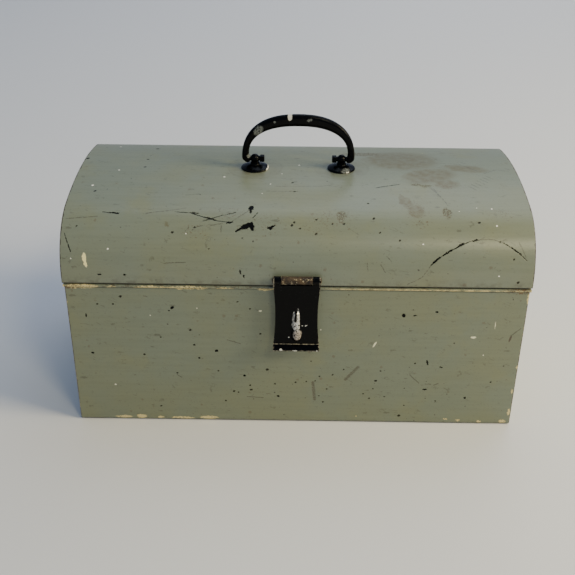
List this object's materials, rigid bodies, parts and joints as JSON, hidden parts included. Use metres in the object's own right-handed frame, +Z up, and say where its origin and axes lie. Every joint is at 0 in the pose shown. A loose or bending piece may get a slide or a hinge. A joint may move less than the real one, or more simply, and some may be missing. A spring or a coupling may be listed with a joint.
{
  "type": "toolbox with tray",
  "caption": "Sheet-steel toolbox with a domed hinged lid, a black drop handle, a hinged front hasp and a lift-out tray on ledges inside.",
  "frame": {"origin": "centre of the bottom face", "axes": "+Z up, -Y is the front with the hasp, +X is the right end seen from the front"},
  "size_m": [0.409, 0.2508, 0.2648],
  "materials": {
    "paint": "worn satin grey-green enamel on sheet steel",
    "black_paint": "chipped gloss black enamel",
    "rusty_steel": "bare steel with brown rust",
    "zinc_steel": "dull plated steel",
    "tray_paint": "scuffed satin grey-green enamel"
  },
  "bodies": {
    "box": {"body_wrap": "paint", "body_end_left": "paint", "body_end_right": "paint", "tray_ledge_left": "zinc_steel", "tray_ledge_right": "zinc_steel", "ledge_rivets": "paint", "keeper": "black_paint", "keeper_rivets": "black_paint", "hinge_body_leaf_left": "zinc_steel", "hinge_body_leaf_right": "zinc_steel", "hinge_body_rivets": "zinc_steel", "hinge_pins": "zinc_steel"},
    "lid": {"lid_wrap": "paint", "lid_end_left": "paint", "lid_end_right": "paint", "hinge_lid_leaf_left": "zinc_steel", "hinge_lid_leaf_right": "zinc_steel", "hinge_lid_rivets": "zinc_steel", "handle_rose_left": "black_paint", "handle_rose_right": "black_paint", "handle_post_left": "black_paint", "handle_post_right": "black_paint", "handle_backing": "zinc_steel", "handle_washers": "zinc_steel", "handle_nuts": "zinc_steel", "hasp_leaf": "rusty_steel", "hasp_pin": "rusty_steel"},
    "bail": {"bail": "black_paint"},
    "hasp": {"hasp_plate": "black_paint"},
    "tray": {"tray_pan": "tray_paint", "tray_divider_left": "tray_paint", "tray_divider_right": "tray_paint", "tray_divider_middle": "tray_paint", "tray_handle": "zinc_steel", "tray_rivets": "zinc_steel"}
  },
  "joints": [
    {"name": "lid_open", "type": "hinge", "parent": "box", "child": "lid", "pos_m": [0, 0.1169, 0.1486], "axis": [-1, 0, 0], "range_deg": [0, 105]},
    {"name": "bail_swing", "type": "hinge", "parent": "lid", "child": "bail", "pos_m": [0, 0, 0.22178], "axis": [1, 0, 0], "range_deg": [-99, 99]},
    {"name": "hasp_swing", "type": "hinge", "parent": "lid", "child": "hasp", "pos_m": [0, -0.118, 0.1572], "axis": [-1, 0, 0], "range_deg": [0, 175]},
    {"name": "tray_lift", "type": "slide", "parent": "box", "child": "tray", "axis": [0, 0, 1], "range_m": [0, 0.03]}
  ]
}
